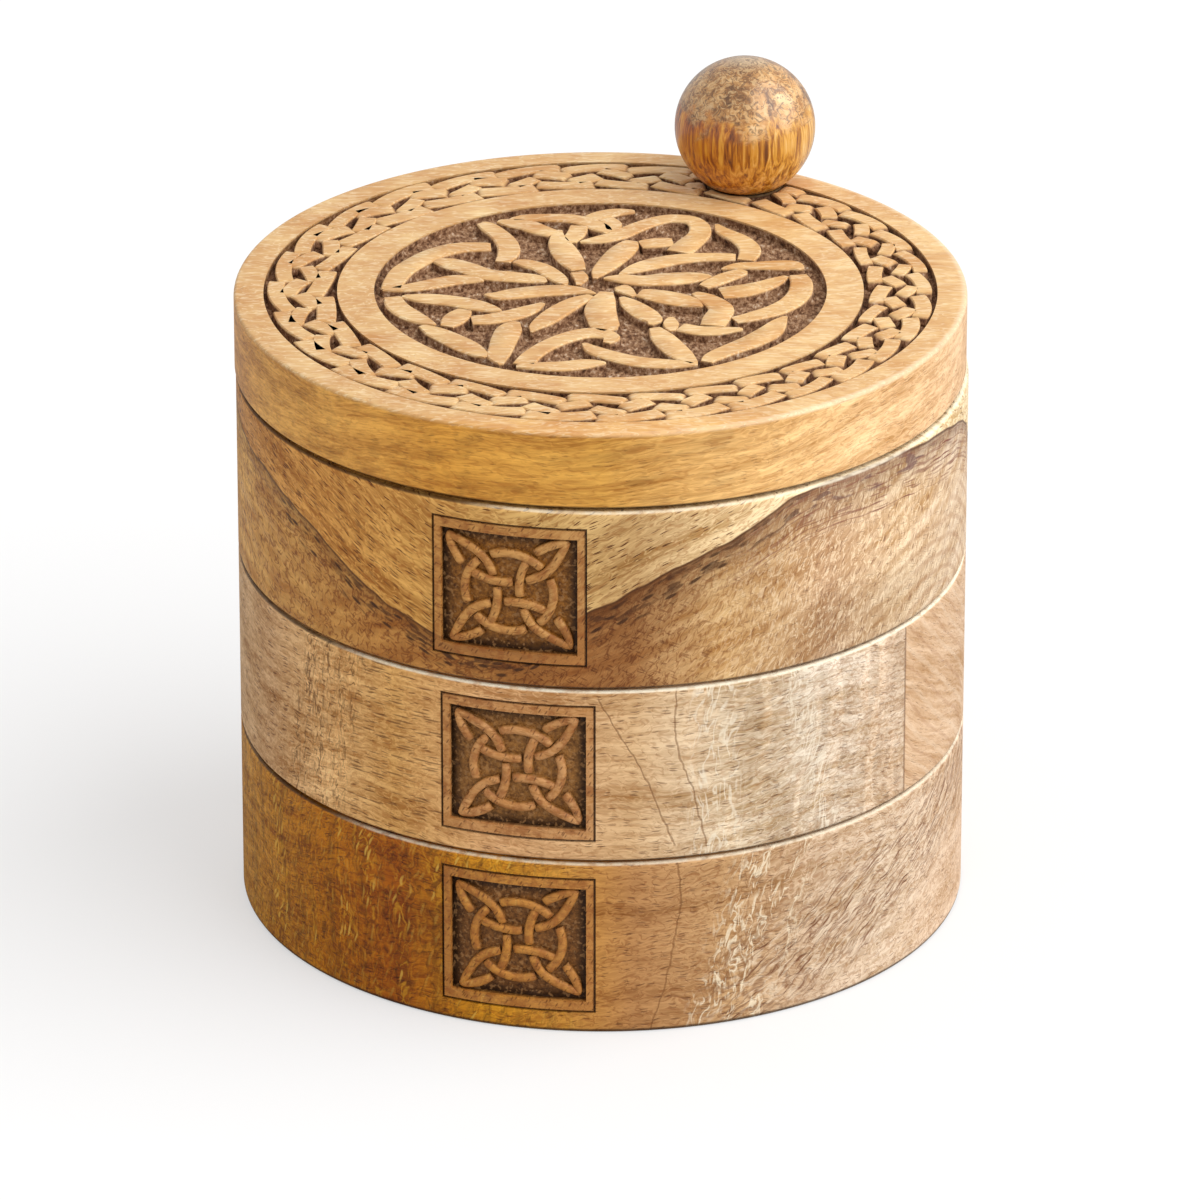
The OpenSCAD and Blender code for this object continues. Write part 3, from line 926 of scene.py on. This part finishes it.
# Lid: a turned honey-coloured disc. A braid runs round near its edge and a knot rosette fills its middle;
# both are left standing at the lid's own height, on rough grounds cut 1.5 mm deep and rubbed with dark stain.
lid_low, lid_top = (corner.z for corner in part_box("lid"))
lid_r = (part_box("lid")[1].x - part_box("lid")[0].x) / 2
lid_turn = math.radians(-0.35)
lid_arris = 0.6 * MM
field_edges = (38.7 * MM, 45.0 * MM, 57.6 * MM)
ground_depth = 1.5 * MM
ring_step = 0.62 * MM
pad_r = 6.6 * MM


def swung(piece):
    """Turns a piece made round the middle to the closed lid's place about the bolt"""
    centre = Vector((*pivot, 0))
    turn = Matrix.Rotation(lid_turn, 4, "Z")
    piece.data.transform(Matrix.Translation(centre) @ turn @ Matrix.Translation(-centre))


def lid_blank():
    """The turned lid with its two sunk grounds"""
    inner, between, outer = field_edges
    outline = [(0, lid_low)] + [(r * MM, lid_low) for r in (15, 30, 45, 56)]
    outline += [(lid_r - lid_arris + c, lid_low + lid_arris + s) for c, s in quarter(lid_arris, 4, -90)]
    outline += [(lid_r, lid_low + (lid_top - lid_low) * i / 8) for i in range(1, 8)]
    outline += [(lid_r - lid_arris + c, lid_top - lid_arris + s) for c, s in quarter(lid_arris, 5, 0)]
    outline += [(outer + 2 * MM, lid_top), (outer, lid_top)]
    floor_z = lid_top - ground_depth
    rings = np.arange(outer - edge_w, between, -ring_step)
    outline += [(r, floor_z) for r in rings] + [(between + edge_w, floor_z)]
    outline += [(between, lid_top), (inner + 3 * MM, lid_top), (inner, lid_top)]
    rings = np.arange(inner - edge_w, ring_step / 2, -ring_step)
    outline += [(r, floor_z) for r in rings] + [(0, floor_z)]
    angles = np.linspace(0, 2 * math.pi, 480, endpoint=False)
    radii, heights = spun(outline, len(angles))
    for i, (r, z) in enumerate(outline[:-1]):
        if z != floor_z:
            continue
        for j, a in enumerate(angles):
            spot = Vector((r * math.cos(a), r * math.sin(a), 0)) / MM
            heights[i, j] += hand_cut(spot, (1.3, 0.28), (4, 0.15)) * MM
    return turned("carved_lid", radii, heights, angles)


# The rosette's straps, as (x, y, width) points in millimetres from the middle of the lid
rosette = [
    ((-35.8, -0.3, 3.3), (-35.2, 3.8, 3.5), (-33.5, 9, 3.9), (-29, 15.4, 4), (-24.5, 18.4, 3.8),
     (-19, 18.9, 3)),
    ((-37.2, -0.8, 0.4), (-33.5, 0.2, 2.5), (-29.5, 1.8, 3.5), (-25, 4, 3.6), (-22, 4.1, 2.5),
     (-20, 3.6, 0.5)),
    ((-28.5, 12.5, 1.5), (-26, 11.4, 3.9), (-23, 9.4, 4.1), (-19.5, 6.5, 4), (-15, 5.4, 3.8),
     (-11, 4.4, 3.1), (-9.4, 3.2, 0.8)),
    ((-15, 12.2, 1), (-13, 11.5, 2.8), (-10.2, 9.5, 3.2), (-8.2, 6.5, 3.2), (-6.8, 3.8, 2.5),
     (-5.8, 1.8, 0.5)),
    ((-21, 29.6, 1.6), (-19.5, 27.8, 3.1), (-17.2, 23.5, 3.4), (-16, 19, 3.6), (-16, 15.5, 3.4),
     (-16.9, 12.1, 2.5)),
    ((-18, 30.4, 1), (-15.5, 29.6, 3.1), (-13, 28.8, 3.9), (-10.5, 26.5, 3.6), (-8.2, 24.8, 2.8)),
    ((-15.8, 31.1, 1), (-13, 32, 2.4), (-9, 32.1, 2.8), (-5.5, 31.8, 3.1), (-2.5, 30.2, 3.3),
     (0, 27.5, 3.1), (1.4, 25.4, 1.5)),
    ((5.8, 35, 1.1), (2.5, 34.6, 2.8), (-0.2, 33.2, 3.1), (-2, 31.8, 2.5)),
    ((0.5, 32, 2.5), (1.9, 29.5, 3), (1.9, 27, 2.4), (1.4, 25.8, 1)),
    ((-3.9, 28.5, 2.8), (-4.2, 25.5, 3.1), (-4.9, 22.8, 2.8), (-4.9, 20.8, 1.1)),
    ((-7.1, 26.5, 0.7), (-7.5, 23.8, 2.3), (-7.1, 20.5, 3.7), (-6.2, 16.5, 4.4), (-5.1, 12.5, 4.1),
     (-3.8, 8.5, 2.4)),
    ((-4.1, 7.6, 2.3), (-3.4, 5, 2.4), (-3.8, 1.8, 0.7)),
    ((-3.6, 21, 0.6), (-0.5, 22.1, 2.6), (3, 24.2, 3.3), (5.8, 27.4, 3.3), (9, 30.4, 3.1),
     (12.2, 31.9, 2.9), (15.5, 31.2, 3), (17, 28.5, 3.3), (16.9, 24.5, 3.7), (15.2, 20.5, 4.2),
     (13.5, 16.7, 4.4)),
    ((6.8, 20.1, 2.8), (9.5, 20.8, 3.6), (12.4, 21.2, 3)),
    ((-1, 4.9, 0.7), (-0.1, 8, 2.8), (1.4, 11.5, 3.9), (3.2, 16, 4.4), (4.6, 19.5, 3.7), (5.5, 21.6, 1.8)),
    ((3.2, 6.5, 0.4), (5.8, 9, 2.9), (9, 11.4, 4), (13, 13.4, 3.7), (18, 14.4, 3.1), (23.2, 14.4, 2.5)),
    ((19.9, 29.2, 0.5), (21.2, 26, 2.5), (24, 22.5, 3.3), (25.5, 19, 3.5), (25.6, 16, 3.4),
     (24.9, 13.1, 2.8)),
    ((20.8, 9, 0.5), (23.5, 10.4, 2.2), (26.5, 10.6, 2.6), (30, 10.8, 3.5), (33, 10.6, 3.6), (34.6, 9, 1)),
    ((0.5, 4.8, 0.5), (3.5, 4.7, 3.1), (7, 3.9, 3.7), (11, 4.5, 4.7), (14.5, 5.1, 4.4), (17.2, 5.6, 2.9),
     (19, 5.9, 0.4)),
    ((17.6, 1.4, 2), (19.2, 3, 2.9), (21.5, 5.4, 3.3), (24, 7.6, 2.5), (24.8, 8.4, 1)),
    ((20.6, -1.5, 4.2), (24, -0.6, 4.6), (27.2, 1.2, 3.8), (29.8, 3.5, 2.8), (31.9, 5.9, 0.8)),
    ((33.8, 6.5, 2.9), (34.4, 3, 3.5), (34, -1.5, 3.8), (32.5, -5.5, 3.9), (29.8, -9, 3.8),
     (26, -11.8, 3.1), (22.8, -13.5, 2.3)),
    ((31.6, -11.8, 0.5), (30.2, -14.8, 2.8), (28.5, -18.8, 4.2), (25.5, -22.8, 4.2), (22, -26.2, 3.6),
     (19.2, -29.2, 3.1), (18, -31.5, 2)),
    ((16, -1.6, 1.2), (17.8, -3.5, 3.1), (19.8, -6.2, 3.8), (20.6, -9, 4), (19.8, -12.5, 4.3),
     (19.1, -15.8, 3.9)),
    ((12.1, -12.2, 0.6), (12, -14.5, 2.4), (12.1, -17, 2), (12.3, -18.2, 0.8)),
    ((13.6, -16.5, 3), (17, -18.1, 3.2), (20.5, -18, 2.8), (24.2, -17.4, 0.7)),
    ((3.5, -3.5, 0.8), (5.2, -6.5, 3.3), (7.5, -10.5, 4.1), (9, -13.5, 3), (8.6, -15.5, 0.7)),
    ((9.2, -16.9, 1.8), (10.5, -20.5, 3.7), (12, -24.5, 4.2), (13.8, -28.5, 3.8), (15.5, -31.5, 2),
     (16, -32.8, 0.8)),
    ((-2.8, -23.6, 0.6), (-1, -26.5, 2.8), (2, -29, 3.3), (6.5, -31.5, 3.6), (11, -32.4, 3.3),
     (14.5, -32.6, 2), (16.5, -32.9, 0.4)),
    ((-14, -33.6, 1), (-10, -33.6, 2.8), (-6, -33.5, 3.5), (-2, -32.4, 3.2), (1.1, -32.1, 0.6)),
    ((-12.8, -32.9, 3.5), (-11.5, -29, 3.3), (-9, -24.8, 3.3), (-5.5, -21.1, 3.5), (-2, -19.2, 3.6),
     (0.9, -19.8, 3.3), (1.9, -21.5, 2.8), (1.1, -23.4, 1.2)),
    ((1.1, -1.2, 2.1), (0.4, -5, 4.1), (0, -9, 4.9), (0.4, -13, 4.8), (1, -16.5, 4.4), (2.1, -18.2, 2.2)),
    ((-1.5, -2.9, 1.2), (-4.2, -5.5, 3.3), (-7, -9.5, 3.9), (-9.2, -13.5, 3.6), (-10.9, -16.5, 2.2),
     (-11.6, -18.8, 0.3)),
    ((-0.8, -2, 0.4), (-3.8, -0.6, 2.6), (-7, -0.4, 3.9), (-11, -1, 4.1), (-14.5, -2, 4), (-17.5, -3, 2.9),
     (-19.8, -2.5, 0.7)),
    ((-33.9, -3.4, 0.8), (-30, -4.2, 3.5), (-25.5, -5.2, 3.8), (-21.5, -7, 3.9), (-18.5, -8.8, 2.5),
     (-16.8, -9.6, 0.4)),
    ((-35.5, -3.6, 2.8), (-34.6, -7.5, 3.6), (-32.5, -11.2, 3.8), (-30.2, -13.8, 2.9), (-27.9, -15.8, 0.5)),
    ((-30.4, -16.2, 1), (-27.9, -18.8, 3.5), (-25, -22, 4.2), (-22.2, -25.5, 4.2), (-20, -28.5, 2.5),
     (-19.2, -29.8, 0.4)),
    ((-22.9, -9.2, 2.2), (-24, -11.5, 3.8), (-25.1, -14.2, 3.7), (-26, -16.4, 2.2)),
    ((-21.8, -13.7, 3.1), (-18.8, -13.2, 3.7), (-15, -11.4, 3.9), (-12, -9, 3.1), (-9.6, -6.2, 0.6)),
    ((-14, -14.4, 1), (-15.2, -17, 3.8), (-16, -21, 4.2), (-16.6, -25.5, 3.9), (-17.1, -29.5, 3.4),
     (-16.5, -32.9, 0.7)),
    ((3, 1.2, 1.7), (4, 0, 2.9), (5.8, -3, 1)),
    ((6.6, -1.5, 2.8), (9, -2.4, 4.2), (12, -3.8, 4.8), (15, -5.5, 4), (17.4, -7.5, 0.5)),
]

loops = 30
strands = 5
loop_length = 10.7
loop_spread = 1.5
braid_r = 51.3 * MM
braid_swing = 4.15 * MM
braid_w = 2.85 * MM
inner_gap = 1.6 * MM
outer_gap = 2.3 * MM
flat_top = [(-1.12, 1), (-1.03, 0.3), (-0.98, 0.1), (-0.86, 0.0)]
flat_section = section("flat strap section", flat_top + [(-s, d) for s, d in reversed(flat_top)])


def cut_back(path, first, last):
    """A path without its first and last lengths"""
    steps = steps_along(path)
    return [p for p, s in zip(path, steps) if first <= s <= steps[-1] - last]


def braid():
    """A five-strand plait round the lid, cut by hand: its loops are longer at the left. Each one is laid in
    stretches between the places where it dips under another, at these shares of its wave."""
    stretches = ((0.2, 0.4), (0.4, 0.7), (0.7, 0.9), (0.9, 1.2))
    chance = random.Random(11)
    angles = np.linspace(0, 2 * math.pi, 7200, endpoint=False)
    phase = np.cumsum(1 / (loop_length - loop_spread * np.cos(angles)))
    phase = phase / phase[-1] * loops / strands
    found = []
    for loop in range(loops):
        for start, end in stretches:
            lift = chance.uniform(-0.3, 0.3) * MM
            lean = chance.uniform(-0.25, 0.25) * MM
            broad = braid_w * chance.uniform(0.84, 1.12)
            path = []
            for i in range(41):
                t = start + (end - start) * i / 40
                a = np.interp((loop / strands + t) % (loops / strands), phase, angles)
                wave = math.cos(2 * math.pi * t)
                aside = braid_swing * math.copysign(abs(wave) ** 0.85, wave)
                r = braid_r + aside + lift * abs(wave) + lean * i / 40
                path.append((r * math.cos(a), r * math.sin(a), broad * (1.08 - 0.08 * math.cos(a))))
            first = inner_gap if start in (0.2, 0.7) else outer_gap
            found.append(cut_back(path, first, inner_gap + outer_gap - first))
    return found


def clear_of_pad(path):
    """The part of a path that stays off the plain round that the knob stands over"""
    kept = [p for p in path if math.hypot(p[0] - pivot[0], p[1] - pivot[1]) > pad_r - 0.6 * MM]
    return kept if len(kept) > 12 else []


braid_paths = [path for path in map(clear_of_pad, braid()) if path]
rosette_paths = [smoothed([(x * MM, y * MM, 1.12 * w * MM) for x, y, w in strap]) for strap in rosette]

wood, wavy, tint = mango(
    "honey mango wood",
    [(0.0, "e1a454"), (0.05, "e7ae59"), (0.15, "ebae55"), (0.29, "e8a745"), (0.5, "e3ab51"), (0.7, "f9cb87"),
     (0.85, "f8cf9a"), (1.0, "ecc69b")],
    rise=5, ripple=0.5, streak=0.35, fibre=0.2, curl=0.3, thin=0.18, dash=0.15,
)
pale, dark = wood.strokes(wood.aimed(wavy, 0, 12, (0.15, 1, 1)), 0.8)
tint = wood.over(tint, wood.lit(tint, 1.2), pale, 0.15)
tint = wood.over(tint, wood.lit(tint, 0.75), dark, 0.25)
bands = wood.clouds(wood.aimed(wavy, 0, 6), (0.015, 0.45, 0.45))
bands = wood.times(wood.step(bands, 0.5, 0.9), wood.within(wood.x, -55, 25, 10))
tint = wood.over(tint, wood.lit(tint, 0.75), bands, 0.6)
face = wood.step(wood.z, lid_top / MM - 0.8, lid_top / MM - 0.1)
planed = wood.clouds(wood.aimed(wavy, 8, 0), (0.05, 0.3, 0.4), 3, 0.5)
patches = wood.clouds(wood.place, 0.11, 3, 0.6)
flat = wood.mix(wood.sum(wood.times(planed, 0.35), wood.times(patches, 0.65)), "ce9354", "f4d098")
flat = wood.stained(flat, wood.mix(wood.step(wood.x, -50, 30), "e7e3da", "f7f6f1"))
flat = wood.over(flat, wood.stained(flat, "fff0d4"), wood.fall(wood.y, -59, -52))
tint = wood.over(tint, wood.over(wood.over(flat, "b87a48", dark, 0.3), "fff0cc", pale, 0.3), face)
from_top = wood.less(lid_top / MM, wood.z)
bolt_axis = Vector((*pivot, 0))
centre = bolt_axis - Matrix.Rotation(lid_turn, 3, "Z") @ bolt_axis
radius = wood.length(wood.less(wood.x, centre.x / MM), wood.less(wood.y, centre.y / MM))
# Painted highlight along the rim's upper arris, stronger towards the right
highlit = wood.times(wood.step(radius, lid_r / MM - 1.3, lid_r / MM - 0.5), wood.fall(from_top, 0.3, 0.9))
tint = wood.over(tint, "fff2d8", highlit, wood.step(wood.x, -20, 40, 0, 0.3))
field = wood.fall(radius, field_edges[2] / MM - 0.1, field_edges[2] / MM + 0.3)
sunk = wood.times(field, wood.step(from_top, 0.08, 0.5), wood.fall(from_top, 3, 4))
rub = wood.clouds(wood.place, (1.2, 0.6, 1), 4, 0.75)
stain = wood.ramp(rub, [(0.0, "2c1a0e"), (0.35, "6c4830"), (0.7, "a5805f"), (1.0, "d4c0aa")])
braided = wood.step(radius, field_edges[1] / MM - 3, field_edges[1] / MM - 1)
stain = wood.over(stain, wood.stained(stain, "b08c70"), braided, 0.5)
tint = wood.over(tint, stain, sunk)
# Painted shade on the lid's lower arris, above the gap to the top tier
tint = wood.over(tint, "2c1a0c", wood.step(wood.z, lid_low / MM + 0.15, lid_low / MM + 0.5, 0.75, 0))
from_bolt = wood.length(wood.less(wood.x, pivot[0] / MM), wood.less(wood.y, pivot[1] / MM))
# Painted shadow of the knob on the plain round under its foot and on the strap ends there
tint = wood.over(tint, "2a1a0e", wood.step(from_bolt, 6.5, 7.2, 0.9, 0), face)
lid_wood = wood.settle(tint, wood.step(sunk, 0, 1, 0.42, 0.9), wood.relief)

lid = lid_blank()
foot = ground_depth + 0.35 * MM
straps = carve("straps", braid_paths, flat_section, lid_wood, foot,
               step=0.45 * MM, dip=1.15 * MM, dip_length=1.8 * MM)
leaves = carve("leaves", rosette_paths, flat_section, lid_wood, foot,
               step=0.5 * MM, dip=0.12 * MM, dip_length=0.5 * MM)
for work in (straps, leaves):
    work.data.transform(Matrix.Translation((0, 0, lid_top)))
pad = rod(pad_r, lid_top - ground_depth - 0.5 * MM, lid_top, pivot)
join(lid, pad)
cut(lid, rod(bore_r, lid_low - MM, lid_top + MM, pivot))
swung(join(lid, straps, leaves))
polish(lid, lid_wood)
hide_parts("lid")
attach(lid, "lid")


# Knob: a turned ball of spalted mango wood with a flat foot, bored from below for its brass insert. It is
# varnished, streaked orange below and grey brown and mottled above.
knob_low, knob_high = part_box("knob")
knob_r = (knob_high.x - knob_low.x) / 2
ball_z = knob_high.z - knob_r
insert_bore_r = 3.62 * MM
insert_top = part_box("knob_insert")[1].z + 0.02 * MM
foot_angle = math.asin((knob_low.z - ball_z) / knob_r)
climb = [foot_angle + (math.pi / 2 - foot_angle) * i / 64 for i in range(64)]
outline = [(0, insert_top), (insert_bore_r * 0.5, insert_top), (insert_bore_r, insert_top)]
outline += [(insert_bore_r, knob_low.z), (5 * MM, knob_low.z)]
outline += [(knob_r * math.cos(a), ball_z + knob_r * math.sin(a)) for a in climb] + [(0, knob_high.z)]
angles = np.linspace(0, 2 * math.pi, 128, endpoint=False)
knob = turned("ball_knob", *spun(outline, len(angles)), angles)
knob.data.transform(Matrix.Translation((*pivot, 0)))
wood = Finish("spalted mango wood")
centred = wood.spread(wood.place, 1, shift=(-pivot[0] / MM, -pivot[1] / MM, -ball_z / MM))
up = wood.less(wood.z, ball_z / MM)
swirl = wood.clouds(centred, 0.22, 4, 0.65, 0.8)
streaks = wood.clouds(centred, (1.3, 1.3, 0.08), 4, 0.6, 0.6)
aside = wood.parts(centred)[0]
shaded = wood.ramp(streaks, [(0.0, "561f00"), (0.3, "984c00"), (0.55, "c47400"), (1.0, "e2a01c")])
sunny = wood.ramp(streaks, [(0.0, "6e3a10"), (0.3, "b0701e"), (0.55, "dca03a"), (1.0, "f4cc84")])
lower = wood.mix(wood.step(aside, -9, 9), shaded, sunny)
upper = wood.ramp(swirl, [(0.0, "6c4620"), (0.35, "a87236"), (0.6, "d8a05c"), (1.0, "f0cc98")])
shade = wood.fall(wood.sum(aside, wood.times(up, -1.2)), -14, -3)
upper = wood.over(upper, "6f4c2c", shade, 0.4)
cap = wood.times(wood.step(wood.sum(up, wood.times(swirl, 0.8)), 11.9, 12.7), 0.6)
upper = wood.over(upper, "c2ad8e", cap)
pale, dark = wood.strokes(centred, 1.3, 1.4)
upper = wood.over(wood.over(upper, "e3c08a", pale, 0.5), "4e2f16", dark, 0.7)
share = wood.step(wood.sum(up, wood.times(wood.clouds(centred, 0.3, 3), 5)), 4.6, 7.6)
tint = wood.mix(share, lower, upper)
for label, value in (("Specular IOR Level", 0.55), ("Coat Weight", 0.6), ("Coat Roughness", 0.2)):
    wood.surface.inputs[label].default_value = value
knob_wood = wood.settle(tint, wood.step(swirl, 0, 1, 0.3, 0.42), wood.times(swirl, 0.02))
polish(knob, knob_wood)
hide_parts("knob")
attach(knob, "base")


# Bolt, washers and insert: a zinc-plated button-head bolt that holds the box together from below, thin
# nylon washers that carry the tiers and the lid, and the brass insert that the bolt screws into.
def hardware(nodes, name, tint, worn, rough, metal):
    """A turned metal or plastic finish, given to the pieces that the frame holds"""
    finish = Finish(name)
    scratch = finish.clouds(finish.place, (0.6, 0.6, 9), 4, 0.7)
    blotch = finish.clouds(finish.place, 0.5, 3)
    finish.surface.inputs["Metallic"].default_value = metal
    colours = finish.over(worn, tint, finish.sum(scratch, blotch), 0.5)
    roughness = finish.step(scratch, 0, 1, rough + 0.12, rough)
    material = finish.settle(colours, roughness, finish.times(scratch, 0.01))
    for node in nodes:
        frame["nodes"][node].data.materials.clear()
        frame["nodes"][node].data.materials.append(material)


hardware(["pivot_bolt", "head_washer"], "zinc-plated steel", "c9cacd", worn="9a9a9c", rough=0.28, metal=1.0)
hardware(["knob_insert"], "turned brass", "d8b45e", worn="a98238", rough=0.25, metal=1.0)
hardware(["lower_spacer", "middle_spacer", "upper_spacer"], "natural nylon", "e3dfd0", worn="cfc8b4",
         rough=0.5, metal=0.0)

for drawn in (round_section, flat_section):
    bpy.data.objects.remove(drawn)
